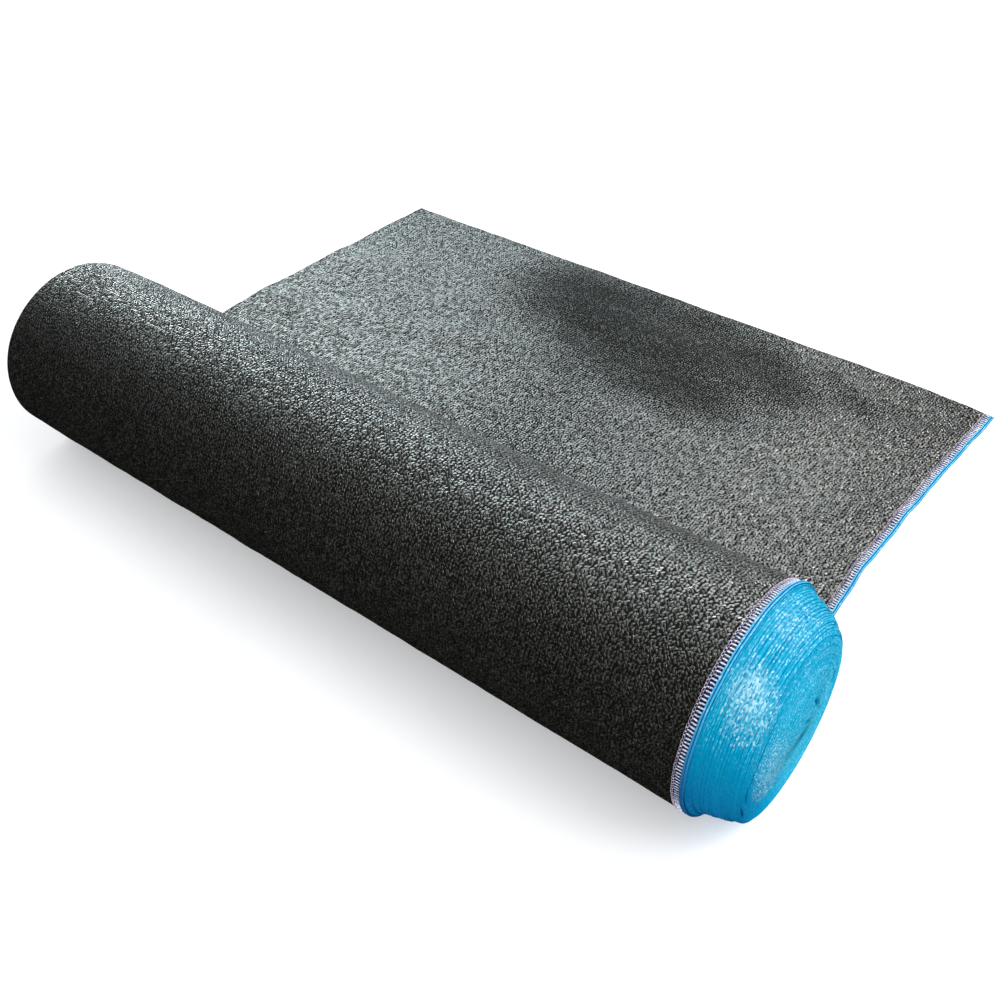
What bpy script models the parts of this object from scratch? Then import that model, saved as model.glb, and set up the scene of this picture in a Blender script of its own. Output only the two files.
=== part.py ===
"""Shade cloth: a roll of knitted shade cloth on its side, with its loose length laid out behind it.

The black cloth, wound and laid out, is one solid. The blue selvedge is the other: the domed
stack of its wound edges at one end of the roll, and the thin band that runs on from it along
the loose length.

Metres, +Z up. X runs along the roll towards the blue end, Y from the roll to the cut end of
the loose length. Everything rests on z = 0.
"""
import math

import bmesh
import bpy
import numpy as np

# Driving dimensions

CLOTH_WIDTH = 1.214
CLOTH_THICKNESS = 0.002
FLAT_SPOT_HALF = 0.013
PLAIN_END_IN_AT_TOP = 0.004
PLAIN_END_OUT_AT_FLOOR = 0.008
PLAIN_END_REACH = 0.300
LEAVES_BY = 0.034

BAND_WIDTH = 0.0065
BAND_THICKNESS = 0.0024
PIECE_GAP = 0.0003

ROLL_POINTS = 48
ROLL_STATIONS = 40
SHEET_COLUMNS = 31
DOME_POINTS = 60

# Wound roll: its radius grows towards the thicker selvedge.
# distance from the plain end, radius, how far back its middle lies
ROLL = (
    (0.000, 0.1391, 0.0025),
    (0.100, 0.1411, 0.0025),
    (0.300, 0.1423, 0.0020),
    (0.600, 0.1428, 0.0010),
    (0.900, 0.1437, 0.0000),
    (1.090, 0.1450, 0.0000),
    (1.214, 0.1474, 0.0000),
)

# Outline of the loose length, seen from above.

# share of the width, distance of the cut end from the roll's axis
CUT_END = (
    (0.00, 0.7765),
    (0.12, 0.7785),
    (0.25, 0.7825),
    (0.40, 0.7865),
    (0.55, 0.7895),
    (0.75, 0.7925),
    (0.88, 0.7950),
    (0.95, 0.7935),
    (1.00, 0.7880),
)
# distance from the roll's axis, how far the plain edge lies inside the roll's plain end
PLAIN_EDGE = (
    (0.000, 0.0000),
    (0.034, 0.0000),
    (0.120, -0.0200),
    (0.220, -0.0370),
    (0.310, -0.0410),
    (0.369, -0.0370),
    (0.435, -0.0240),
    (0.505, -0.0130),
    (0.574, 0.0010),
    (0.649, 0.0130),
    (0.722, 0.0270),
    (0.795, 0.0410),
)
# distance from the roll's axis, how far the selvedge lies outside the roll's blue end
SELVEDGE_EDGE = (
    (0.000, 0.0000),
    (0.034, 0.0000),
    (0.110, -0.0110),
    (0.220, -0.0220),
    (0.333, -0.0265),
    (0.398, -0.0285),
    (0.470, -0.0255),
    (0.547, -0.0220),
    (0.625, -0.0200),
    (0.668, -0.0155),
    (0.712, -0.0115),
    (0.795, -0.0070),
)

# Soft ridges of the loose length: the cloth lifts off the floor along each one.
# middle x, middle y, half length, half width, heading in degrees from X, height
RIDGES = (
    (0.020, 0.665, 0.420, 0.060, -3.0, 0.0050),
    (-0.300, 0.480, 0.260, 0.055, 14.0, 0.0038),
    (0.180, 0.380, 0.300, 0.050, -8.0, 0.0034),
    (-0.560, 0.560, 0.100, 0.050, 4.0, 0.0046),
    (-0.590, 0.400, 0.090, 0.045, -6.0, 0.0040),
    (0.545, 0.690, 0.120, 0.050, 24.0, 0.0062),
    (0.560, 0.505, 0.105, 0.042, 18.0, 0.0066),
    (0.555, 0.365, 0.090, 0.036, 30.0, 0.0058),
    (0.350, 0.560, 0.150, 0.060, 52.0, 0.0032),
    (-0.180, 0.745, 0.150, 0.040, 8.0, 0.0034),
)
LIFT_FROM = 0.190
LIFT_FULL = 0.290

# Wound selvedge at the blue end.
# distance from the black cloth, radius, height of its lowest point over the floor
DOME = (
    (0.0000, 0.1488, 0.0000),
    (0.0050, 0.1490, 0.0000),
    (0.0060, 0.1464, 0.0026),
    (0.0072, 0.1466, 0.0030),
    (0.0120, 0.1412, 0.0086),
    (0.0190, 0.1377, 0.0124),
    (0.0260, 0.1361, 0.0126),
    (0.0328, 0.1333, 0.0140),
    (0.0392, 0.1309, 0.0147),
    (0.0445, 0.1286, 0.0152),
    (0.0468, 0.1256, 0.0172),
    (0.0492, 0.1242, 0.0168),
    (0.0545, 0.1212, 0.0158),
    (0.0588, 0.1136, 0.0204),
    (0.0611, 0.1018, 0.0326),
    (0.0640, 0.0733, 0.0592),
    (0.0668, 0.0421, 0.0890),
    (0.0684, 0.0204, 0.1085),
)
EYE_DEPTH = 0.012
EYE_SHARE = 0.55
EYE_FLATNESS = 0.35

# Shallow dish at the plain end, where the inner turns are drawn in a little.
# share of the roll's radius, depth behind the plain end
DISH = (
    (0.955, -0.0040),
    (0.955, 0.0012),
    (0.900, 0.0028),
    (0.720, 0.0046),
    (0.480, 0.0062),
    (0.220, 0.0074),
    (0.000, 0.0080),
)
DISH_STEPS = 60

BLACK = (0.021, 0.023, 0.022)
BLUE = (0.004, 0.330, 0.640)


def clear_scene():
    """Remove whatever the file holds at the start."""
    for item in list(bpy.data.objects):
        bpy.data.objects.remove(item, do_unlink=True)


def collection(name):
    """A new collection in the scene."""
    made = bpy.data.collections.new(name)
    bpy.context.scene.collection.children.link(made)
    return made


def plastic_yarn(name, colour, roughness):
    """A plain material for knitted plastic yarn."""
    material = bpy.data.materials.new(name)
    material.use_nodes = True
    shader = material.node_tree.nodes["Principled BSDF"]
    shader.inputs["Base Color"].default_value = (*colour, 1.0)
    shader.inputs["Roughness"].default_value = roughness
    shader.inputs["Metallic"].default_value = 0.0
    return material


def between(table, where, column=1):
    """Value of a table's column at a place in its first column, along straight lines."""
    places = [row[0] for row in table]
    values = [row[column] for row in table]
    return float(np.interp(where, places, values))


def soft_step(start, end, value):
    """0 before start, 1 after end, and a smooth rise between them."""
    share = min(max((value - start) / (end - start), 0.0), 1.0)
    return share * share * (3.0 - 2.0 * share)


def roll_measures(x):
    """Radius of the roll, its middle's y and z, and the y where the loose length leaves it."""
    radius = between(ROLL, x)
    back = between(ROLL, x, 2)
    middle = math.sqrt(radius ** 2 - FLAT_SPOT_HALF ** 2)
    leaves = back + math.sqrt(radius ** 2 - (middle - CLOTH_THICKNESS) ** 2)
    return radius, back, middle, leaves


def plain_end_lean(x, z):
    """How far the plain end's lean moves a point along the roll: in at the top, out at the floor."""
    share = z / (2.0 * between(ROLL, 0.0))
    lean = (PLAIN_END_IN_AT_TOP + PLAIN_END_OUT_AT_FLOOR) * share - PLAIN_END_OUT_AT_FLOOR
    return lean * (1.0 - soft_step(0.0, PLAIN_END_REACH, x))


def lift(x, y):
    """Height of the loose cloth's underside over the floor."""
    height = 0.0
    for mid_x, mid_y, half_length, half_width, heading, rise in RIDGES:
        turn = math.radians(heading)
        dx = x - CLOTH_WIDTH / 2.0 - mid_x
        dy = y - mid_y
        along = (dx * math.cos(turn) + dy * math.sin(turn)) / half_length
        across = (dy * math.cos(turn) - dx * math.sin(turn)) / half_width
        reach = along * along + across * across
        if reach < 1.0:
            height = max(height, 0.0) + rise * (1.0 - reach) ** 2
    return height * soft_step(LIFT_FROM, LIFT_FULL, y)


def cloth_section(share):
    """Points round the wound and laid cloth at a share of its width: the roll, then under, then over."""
    x = share * CLOTH_WIDTH
    radius, back, middle, leaves = roll_measures(x)
    first = math.atan2(CLOTH_THICKNESS - middle, leaves - back)
    last = math.atan2(-middle, -FLAT_SPOT_HALF) + 2.0 * math.pi
    points = []
    for angle in np.linspace(first, last, ROLL_POINTS):
        y = back + radius * math.cos(angle)
        z = max(middle + radius * math.sin(angle), 0.0)
        points.append((x + plain_end_lean(x, z), y, z))
    under = []
    over = []
    for column in np.linspace(0.0, 1.0, SHEET_COLUMNS):
        y = leaves + (between(CUT_END, share) - leaves) * column
        start = between(PLAIN_EDGE, y)
        end = CLOTH_WIDTH + between(SELVEDGE_EDGE, y)
        sheet_x = start + (end - start) * share
        sheet_x += plain_end_lean(x, 0.0) * (1.0 - soft_step(LEAVES_BY, 0.120, y))
        height = lift(sheet_x, y)
        under.append((sheet_x, y, height))
        over.append((sheet_x, y, height + CLOTH_THICKNESS))
    return points + under + over[:0:-1]


def ring(x, radius, lowest, flatness=1.0):
    """A circle across the roll, with a short flat at its lowest point."""
    half = min(FLAT_SPOT_HALF, 0.09 * radius)
    middle = lowest + math.sqrt(radius ** 2 - half ** 2)
    edge = math.asin(half / radius)
    angles = np.linspace(-math.pi / 2.0 + edge, 1.5 * math.pi - edge, DOME_POINTS)
    points = []
    for angle in angles:
        points.append((x, radius * math.cos(angle), middle + flatness * radius * math.sin(angle)))
    return points


def loft(name, sections, start_faces, end_faces):
    """A closed body through sections that have the same number of points each."""
    mesh = bpy.data.meshes.new(name)
    bm = bmesh.new()
    rows = []
    for section in sections:
        rows.append([bm.verts.new(point) for point in section])
    count = len(sections[0])
    for row, following in zip(rows, rows[1:]):
        for i in range(count):
            j = (i + 1) % count
            bm.faces.new((row[i], row[j], following[j], following[i]))
    for corners in start_faces:
        bm.faces.new([rows[0][i] for i in corners])
    for corners in end_faces:
        bm.faces.new([rows[-1][i] for i in reversed(corners)])
    bmesh.ops.recalc_face_normals(bm, faces=bm.faces)
    bm.to_mesh(mesh)
    bm.free()
    return bpy.data.objects.new(name, mesh)


def boolean(body, other, operation):
    """Apply an exact Boolean of another object to a body."""
    modifier = body.modifiers.new(operation.title(), "BOOLEAN")
    modifier.operation = operation
    modifier.solver = "EXACT"
    modifier.object = other
    bpy.context.view_layer.objects.active = body
    bpy.ops.object.modifier_apply(modifier=modifier.name)


def as_cutter(item):
    """Show an object as wire and keep it out of the picture."""
    item.display_type = "WIRE"
    item.hide_render = True


def turned_profile(name, profile, steps):
    """A closed body from (radius, distance) pairs turned about the X axis with a Screw."""
    mesh = bpy.data.meshes.new(name)
    points = [(distance, 0.0, radius) for radius, distance in profile]
    points.insert(0, (profile[0][1], 0.0, 0.0))
    edges = [(i, i + 1) for i in range(len(points) - 1)]
    mesh.from_pydata(points, edges, [])
    item = bpy.data.objects.new(name, mesh)
    screw = item.modifiers.new("Screw", "SCREW")
    screw.axis = "X"
    screw.angle = 2.0 * math.pi
    screw.steps = steps
    screw.render_steps = steps
    screw.use_merge_vertices = True
    screw.merge_threshold = 0.0001
    screw.use_normal_calculate = True
    return item


def make_black_cloth(parts, cutters):
    """The wound roll and its loose length, one length of cloth."""
    shares = np.linspace(0.0, 1.0, ROLL_STATIONS)
    sections = [cloth_section(share) for share in shares]
    count = len(sections[0])
    faces = [list(range(ROLL_POINTS + 1))]
    for column in range(SHEET_COLUMNS - 1):
        under = ROLL_POINTS + column
        over = (count - column) % count
        faces.append((under, under + 1, count - column - 1, over))
    body = loft("black_cloth", sections, faces, faces)
    parts.objects.link(body)

    radius, back, middle, leaves = roll_measures(0.0)
    profile = [(share * radius, depth) for share, depth in DISH]
    dish = turned_profile("plain_end_dish", profile, DISH_STEPS)
    slope = (PLAIN_END_IN_AT_TOP + PLAIN_END_OUT_AT_FLOOR) / (2.0 * radius)
    dish.location = (plain_end_lean(0.0, middle), back, middle)
    dish.rotation_euler.y = math.atan(slope)
    cutters.objects.link(dish)
    as_cutter(dish)
    bpy.context.view_layer.update()
    boolean(body, dish, "DIFFERENCE")
    return body


def make_blue_selvedge(parts, cutters):
    """The domed stack of wound selvedge and the band along the loose length."""
    start = CLOTH_WIDTH + PIECE_GAP
    sections = []
    for distance, radius, lowest in DOME:
        sections.append(ring(start + distance, radius, lowest))
    eye = EYE_SHARE * radius
    eye_low = lowest + radius - eye
    sections.append(ring(start + distance - EYE_DEPTH, eye, eye_low, EYE_FLATNESS))
    cap = list(range(DOME_POINTS))
    body = loft("blue_selvedge", sections, [cap], [cap])
    parts.objects.link(body)

    leaves = roll_measures(CLOTH_WIDTH)[3]
    places = [0.004, 0.016]
    places += list(np.linspace(leaves, between(CUT_END, 1.0), SHEET_COLUMNS))
    sections = []
    for y in places:
        inner = CLOTH_WIDTH + between(SELVEDGE_EDGE, y) + PIECE_GAP
        outer = inner + BAND_WIDTH
        low = lift(inner, y) + 0.0006 * (1.0 - soft_step(0.004, 0.032, y))
        high = lift(inner, y) + BAND_THICKNESS
        sections.append(((inner, y, low), (outer, y, low), (outer, y, high), (inner, y, high)))
    cap = (0, 1, 2, 3)
    band = loft("loose_band", sections, [cap], [cap])
    cutters.objects.link(band)
    as_cutter(band)
    bpy.context.view_layer.update()
    boolean(body, band, "UNION")
    return body


def finish(item, material, angle):
    """Smooth the round faces, keep the real edges sharp, and give the material."""
    for face in item.data.polygons:
        face.use_smooth = True
    item.data.set_sharp_from_angle(angle=math.radians(angle))
    item.data.materials.clear()
    item.data.materials.append(material)


def centre_over_origin(items, cutters):
    """Move everything so that the middle of the footprint is the origin."""
    places = np.array([vertex.co for item in items for vertex in item.data.vertices])
    low = places.min(axis=0)
    high = places.max(axis=0)
    shift = -(low + high) / 2.0
    for item in items:
        for vertex in item.data.vertices:
            vertex.co.x += shift[0]
            vertex.co.y += shift[1]
    for item in cutters:
        item.location.x += shift[0]
        item.location.y += shift[1]


def main():
    clear_scene()
    parts = collection("shade_cloth")
    cutters = collection("helpers")
    black = plastic_yarn("black_knit", BLACK, 0.52)
    blue = plastic_yarn("blue_knit", BLUE, 0.48)
    cloth = make_black_cloth(parts, cutters)
    selvedge = make_blue_selvedge(parts, cutters)
    finish(cloth, black, 40.0)
    finish(selvedge, blue, 40.0)
    centre_over_origin([cloth, selvedge], list(cutters.objects))


main()
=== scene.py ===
import math

import bpy
import numpy as np
from bpy.props import FloatProperty, FloatVectorProperty, PointerProperty
from mathutils import Matrix, Vector


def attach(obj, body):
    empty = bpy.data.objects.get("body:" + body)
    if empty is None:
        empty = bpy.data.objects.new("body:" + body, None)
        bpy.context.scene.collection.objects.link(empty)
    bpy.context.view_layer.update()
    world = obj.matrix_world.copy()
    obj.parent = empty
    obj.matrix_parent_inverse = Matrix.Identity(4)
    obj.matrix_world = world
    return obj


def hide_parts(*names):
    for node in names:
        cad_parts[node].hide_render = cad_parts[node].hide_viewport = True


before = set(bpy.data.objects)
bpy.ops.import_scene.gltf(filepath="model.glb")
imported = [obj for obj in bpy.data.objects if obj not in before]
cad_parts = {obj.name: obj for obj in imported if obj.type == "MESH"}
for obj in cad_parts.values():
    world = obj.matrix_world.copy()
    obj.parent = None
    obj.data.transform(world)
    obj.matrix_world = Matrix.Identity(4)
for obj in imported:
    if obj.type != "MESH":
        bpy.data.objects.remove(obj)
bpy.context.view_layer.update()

bl_info = {
    "name": "Shade Cloth",
    "version": (1, 0, 0),
    "blender": (4, 5, 0),
    "location": "3D View > Sidebar > Shade Cloth",
    "description": "A roll of black knitted shade cloth with a blue selvedge and its loose length",
    "category": "Add Mesh",
}

# Shape of the cloth, as in the part's source. Metres, from the roll's plain end and its axis.

PLAIN_END = -0.6210
ROLL_AXIS = -0.32287811
CLOTH_WIDTH = 1.214
FLAT_SPOT = 0.013
GAP = 0.0003

# distance from the plain end, radius, how far back its middle lies
ROLL = (
    (0.000, 0.1391, 0.0025),
    (0.100, 0.1411, 0.0025),
    (0.300, 0.1423, 0.0020),
    (0.600, 0.1428, 0.0010),
    (0.900, 0.1437, 0.0000),
    (1.090, 0.1450, 0.0000),
    (1.214, 0.1474, 0.0000),
)
# share of the width, distance of the cut end
CUT_END = (
    (0.00, 0.7765),
    (0.12, 0.7785),
    (0.25, 0.7825),
    (0.40, 0.7865),
    (0.55, 0.7895),
    (0.75, 0.7925),
    (0.88, 0.7950),
    (0.95, 0.7935),
    (1.00, 0.7880),
)
# distance from the roll's axis, how far the plain edge lies inside the plain end
PLAIN_EDGE = (
    (0.000, 0.0000),
    (0.034, 0.0000),
    (0.120, -0.0200),
    (0.220, -0.0370),
    (0.310, -0.0410),
    (0.369, -0.0370),
    (0.435, -0.0240),
    (0.505, -0.0130),
    (0.574, 0.0010),
    (0.649, 0.0130),
    (0.722, 0.0270),
    (0.795, 0.0410),
)
# distance from the roll's axis, how far the selvedge lies outside the blue end
SELVEDGE_EDGE = (
    (0.000, 0.0000),
    (0.034, 0.0000),
    (0.110, -0.0110),
    (0.220, -0.0220),
    (0.333, -0.0265),
    (0.398, -0.0285),
    (0.470, -0.0255),
    (0.547, -0.0220),
    (0.625, -0.0200),
    (0.668, -0.0155),
    (0.712, -0.0115),
    (0.795, -0.0070),
)
# middle x from the cloth's middle, middle y, half length, half width, heading, height
RIDGES = (
    (0.020, 0.665, 0.420, 0.060, -3.0, 0.0050),
    (-0.300, 0.480, 0.260, 0.055, 14.0, 0.0038),
    (0.180, 0.380, 0.300, 0.050, -8.0, 0.0034),
    (-0.560, 0.560, 0.100, 0.050, 4.0, 0.0046),
    (-0.590, 0.400, 0.090, 0.045, -6.0, 0.0040),
    (0.545, 0.690, 0.120, 0.050, 24.0, 0.0062),
    (0.560, 0.505, 0.105, 0.042, 18.0, 0.0066),
    (0.555, 0.365, 0.090, 0.036, 30.0, 0.0058),
    (0.350, 0.560, 0.150, 0.060, 52.0, 0.0032),
    (-0.180, 0.745, 0.150, 0.040, 8.0, 0.0034),
)
# distance from the black cloth, radius, height of the lowest point
DOME = (
    (0.0072, 0.1466, 0.0030),
    (0.0120, 0.1412, 0.0086),
    (0.0190, 0.1377, 0.0124),
    (0.0260, 0.1361, 0.0126),
    (0.0328, 0.1333, 0.0140),
    (0.0392, 0.1309, 0.0147),
    (0.0445, 0.1286, 0.0152),
    (0.0468, 0.1256, 0.0172),
    (0.0492, 0.1242, 0.0168),
    (0.0545, 0.1212, 0.0158),
    (0.0588, 0.1136, 0.0204),
    (0.0611, 0.1018, 0.0326),
    (0.0640, 0.0733, 0.0592),
    (0.0668, 0.0421, 0.0890),
    (0.0684, 0.0204, 0.1085),
)
# share of the radius, depth of the plain end's dish
DISH = ((0.00, 0.0080), (0.22, 0.0074), (0.48, 0.0062), (0.72, 0.0046), (0.90, 0.0028), (0.98, 0.0010))
BAND_RADIUS = 0.1488
BAND_THICKNESS = 0.0024
# the band's ribbed face: share of its width, how deep the face lies
BAND_FACE = (
    (0.00, 0.0006), (0.12, 0.0001), (0.26, 0.0000), (0.38, 0.0005), (0.46, 0.0007),
    (0.54, 0.0004), (0.66, 0.0000), (0.84, 0.0001), (0.97, 0.0006), (1.00, 0.0010),
)
# painted sheen, where the black tape's glints are brighter or darker: middle across and along, half sizes,
# heading, strength
SHEEN_PATCHES = (
    (0.18, 0.42, 0.34, 0.30, 0.0, 1.0),
    (0.38, 0.35, 0.22, 0.13, 0.0, 0.7),
    (0.66, 0.66, 0.30, 0.13, -8.0, -1.7),
    (0.46, 0.69, 0.14, 0.07, 0.0, -0.7),
    (1.02, 0.38, 0.30, 0.24, 0.0, 1.2),
    (1.05, 0.60, 0.18, 0.16, 20.0, 0.5),
    (0.60, 0.16, 0.70, 0.05, 0.0, -0.3),
    (0.90, 0.69, 0.10, 0.035, -20.0, -0.6),
    (1.02, 0.705, 0.075, 0.022, -29.0, -0.9),
    (0.82, 0.56, 0.10, 0.05, -10.0, -0.7),
    (0.06, 0.42, 0.12, 0.20, 0.0, 0.4),
    (1.01, 0.755, 0.050, 0.022, -15.0, 0.8),
    (0.92, 0.775, 0.065, 0.022, -5.0, 0.7),
    (1.10, -0.460, 0.200, 0.070, 0.0, 0.5),
)
# painted highlight, pale sparkling yarn on the blue end: middle across from the rim and along it, half sizes,
# heading, strength
HIGHLIGHT_PATCHES = (
    (0.058, 0.308, 0.036, 0.042, 0.0, 0.9),
    (0.034, 0.292, 0.026, 0.030, 0.0, 0.5),
    (0.045, 0.185, 0.034, 0.055, 0.0, 0.35),
    (0.148, 0.430, 0.036, 0.100, 0.0, 0.8),
    (0.148, -0.450, 0.036, 0.100, 0.0, 0.8),
)
# gaps between loose turns at the blue end, sunk in and painted navy as shade: radius, angle from the back,
# half arc, half width, depth
SLITS = (
    (0.0880, 5.0, 5.0, 0.0024, 0.0060),
    (0.0445, 20.0, 17.0, 0.0024, 0.0070),
    (0.0224, 40.0, 26.0, 0.0022, 0.0060),
    (0.1035, 127.0, 9.0, 0.0015, 0.0016),
    (0.0990, 144.0, 11.0, 0.0020, 0.0022),
    (0.1010, 162.0, 11.0, 0.0022, 0.0024),
    (0.1060, 179.0, 10.0, 0.0020, 0.0022),
    (0.1120, 195.0, 10.0, 0.0016, 0.0018),
    (0.0750, -60.0, 12.0, 0.0012, 0.0024),
    (0.0560, -110.0, 9.0, 0.0010, 0.0024),
)

# Smaller measures, in metres: how far the loose length's edges are rounded, how high the loose
# length and the band lie where they leave the roll, and the blue end's UV length for each radian.

EDGE_ROUNDING = 0.02
SHEET_LEAVES_AT = 0.0022
BAND_LEAVES_AT = 0.0026
BLUE_END_RADIAN = 0.14

# Colours that stay the same in every version of the cloth

# Painted glints: the pale grey of the fine sparks in the black tape's colour
PAINTED_SPARKLE_GREY = (0.105, 0.110, 0.104)
SEAM_SHADE = (0.003, 0.007, 0.036)
# Painted highlight: the pale blue of the sparkling loops on the blue end
HIGHLIGHT_BLUE = (0.42, 0.72, 0.84)
# Painted shade: the navy in the gaps between loose turns
SLIT_SHADE = (0.0, 0.025, 0.110)
BAND_BLUE = (0.05, 0.47, 0.78)
# Painted shade of the band: dark blue in its groove, at its outer edge and towards the front
BAND_GROOVE_SHADE = (0.0, 0.02, 0.14)
THREAD_SHADE = (0.16, 0.26, 0.52)
CHAIN_SHADE = (0.16, 0.13, 0.24)

# Camera and lights

MIDDLE = (0.0, 0.0, 0.1)
BLUE_END = (0.62, -0.35, 0.2)
CAMERA_PLACE = (0.9418, -1.1141, 1.3079)
CAMERA_TURN = (
    (0.78746, -0.39621, 0.47215),
    (0.61317, 0.58142, -0.53475),
    (-0.06265, 0.71061, 0.70080),
)
CAMERA_LENS = 44.21
# small soft lights that show in the gloss alone: heading, height, distance, size, power, colour, aim
GLOSS_LIGHTS = (
    (150.0, 34.0, 3.2, (1.6, 1.4), 16.0, (0.80, 1.00, 0.60), MIDDLE),
    (140.0, 34.0, 3.2, (1.6, 1.4), 42.0, (0.76, 0.98, 1.00), MIDDLE),
    (128.0, 40.0, 3.2, (1.1, 1.1), 37.0, (0.72, 0.92, 1.00), MIDDLE),
    (115.0, 46.0, 3.2, (1.1, 1.1), 28.0, (0.82, 0.95, 1.00), MIDDLE),
    (103.0, 44.0, 3.2, (1.1, 1.1), 21.0, (0.92, 1.00, 0.96), MIDDLE),
    (120.0, 62.0, 3.2, (1.1, 1.1), 15.0, (0.77, 0.86, 1.00), MIDDLE),
    (80.0, 52.0, 3.2, (1.1, 1.1), 16.0, (1.00, 0.80, 0.64), MIDDLE),
    (146.0, 20.0, 3.2, (1.7, 1.1), 38.0, (0.80, 0.98, 1.00), MIDDLE),
    (131.0, 18.0, 3.2, (1.7, 1.1), 62.0, (0.68, 0.88, 1.00), MIDDLE),
    (155.0, 10.0, 3.2, (1.2, 0.6), 67.0, (0.96, 1.00, 1.00), MIDDLE),
    (20.0, 30.0, 2.6, (0.6, 0.5), 18.0, (0.92, 1.00, 0.98), BLUE_END),
    (50.0, 34.0, 2.6, (0.6, 0.5), 24.0, (1.00, 0.88, 0.88), BLUE_END),
    (60.0, 48.0, 2.6, (0.7, 0.7), 33.0, (1.00, 0.94, 0.91), BLUE_END),
    (85.0, 38.0, 2.6, (0.7, 0.7), 55.0, (1.00, 0.92, 0.80), BLUE_END),
    (40.0, 55.0, 2.6, (0.7, 0.7), 32.0, (0.92, 0.93, 1.00), BLUE_END),
    (20.0, 70.0, 2.6, (0.7, 0.7), 27.0, (0.88, 0.88, 1.00), BLUE_END),
    (-32.0, 36.0, 2.6, (0.9, 0.8), 21.0, (0.95, 1.00, 0.60), BLUE_END),
    (-60.0, 45.0, 2.6, (1.1, 1.1), 16.0, (1.00, 1.00, 0.60), BLUE_END),
)


class ShadeClothSettings(bpy.types.PropertyGroup):
    """Sizes and colours of the shade cloth."""

    thickness: FloatProperty(
        name="Cloth thickness", description="Thickness of the knitted cloth",
        default=0.0019, min=0.001, max=0.003, unit="LENGTH")
    wale: FloatProperty(
        name="Wale spacing", description="Distance between the knit's lengthwise rows",
        default=0.0047, min=0.002, max=0.01, unit="LENGTH")
    turn: FloatProperty(
        name="Turn thickness", description="How much of the roll's radius one turn takes",
        default=0.00128, min=0.001, max=0.004, unit="LENGTH")
    stitch: FloatProperty(
        name="Stitch spacing", description="Distance between the stitches along the selvedge",
        default=0.0047, min=0.003, max=0.01, unit="LENGTH")
    tooth: FloatProperty(
        name="Stitch length", description="Length of a stitch across the cloth's edge",
        default=0.0085, min=0.004, max=0.02, unit="LENGTH")
    band: FloatProperty(
        name="Band width", description="Width of the blue band beyond the black cloth",
        default=0.0062, min=0.003, max=0.008, unit="LENGTH")
    black: FloatVectorProperty(
        name="Tape colour", description="Colour of the black tape yarn",
        default=(0.0022, 0.0024, 0.0018), subtype="COLOR", min=0.0, max=1.0)
    # Painted glints: the grey that the black tape's flecks take in its colour
    grey: FloatVectorProperty(
        name="Fleck colour", description="Colour of the tape where its worn face shows",
        default=(0.042, 0.044, 0.038), subtype="COLOR", min=0.0, max=1.0)
    blue: FloatVectorProperty(
        name="Selvedge colour", description="Colour of the blue selvedge yarn",
        default=(0.000, 0.390, 0.570), subtype="COLOR", min=0.0, max=1.0)
    # Painted shade: the darker blue between the turns and towards the front
    shaded_blue: FloatVectorProperty(
        name="Deep blue", description="Colour of the blue yarn down between the turns",
        default=(0.000, 0.095, 0.270), subtype="COLOR", min=0.0, max=1.0)
    thread: FloatVectorProperty(
        name="Thread colour", description="Colour of the threads across the edge",
        default=(0.880, 0.890, 0.960), subtype="COLOR", min=0.0, max=1.0)
    chain: FloatVectorProperty(
        name="Chain colour", description="Colour of the chain of loops along the edge",
        default=(0.860, 0.720, 0.840), subtype="COLOR", min=0.0, max=1.0)


# Curves and surfaces


def between(table, where, column=1):
    """A table's column at places in its first column, along straight lines."""
    return np.interp(where, [row[0] for row in table], [row[column] for row in table])


def softly_between(table, where, reach=0.03):
    """As between, with the corners of the line rounded."""
    total = 0.0
    for step in np.linspace(-1.0, 1.0, 9):
        total = total + between(table, np.asarray(where) + step * reach)
    return total / 9.0


def soft_step(start, end, value):
    """0 before start, 1 after end, and a smooth rise between them."""
    share = np.clip((value - start) / (end - start), 0.0, 1.0)
    return share * share * (3.0 - 2.0 * share)


def unevenness(seed, shortest, longest, x, y, count=26):
    """A smooth random relief from -1 to 1, made of waves in all directions."""
    random = np.random.RandomState(seed)
    total = np.zeros(np.broadcast(x, y).shape)
    for _ in range(count):
        length = shortest * (longest / shortest) ** random.rand()
        heading = random.rand() * math.tau
        phase = random.rand() * math.tau
        total += np.sin((x * math.cos(heading) + y * math.sin(heading)) * math.tau / length + phase)
    return np.clip(total / (1.6 * math.sqrt(count)), -1.0, 1.0)


def roll_measures(x):
    """Radius of the roll, its middle's y and z."""
    radius = between(ROLL, x)
    back = between(ROLL, x, 2)
    return radius, back, np.sqrt(radius ** 2 - FLAT_SPOT ** 2)


def plain_end_lean(x, z):
    """How far the plain end's lean moves a point along the roll."""
    lean = 0.012 * z / (2.0 * ROLL[0][1]) - 0.008
    return lean * (1.0 - soft_step(0.0, 0.3, x))


def lift(x, y):
    """Height of the loose cloth's underside over the floor, from its ridges."""
    height = np.zeros(np.broadcast(x, y).shape)
    for mid_x, mid_y, half_length, half_width, heading, rise in RIDGES:
        turn = math.radians(heading)
        dx = x - CLOTH_WIDTH / 2.0 - mid_x
        dy = y - mid_y
        along = (dx * math.cos(turn) + dy * math.sin(turn)) / half_length
        across = (dy * math.cos(turn) - dx * math.sin(turn)) / half_width
        reach = along * along + across * across
        height += np.where(reach < 1.0, rise * (1.0 - np.minimum(reach, 1.0)) ** 2, 0.0)
    return height * soft_step(0.190, 0.290, y)


def loose_height(x, y):
    """Height of the loose cloth's underside, with its small unevenness."""
    rough = unevenness(5, 0.035, 0.110, x, y) * 0.0007 + unevenness(8, 0.09, 0.30, x, y) * 0.0009
    return lift(x, y) + np.maximum(rough + 0.0006, 0.0) * soft_step(0.060, 0.160, y)


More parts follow.
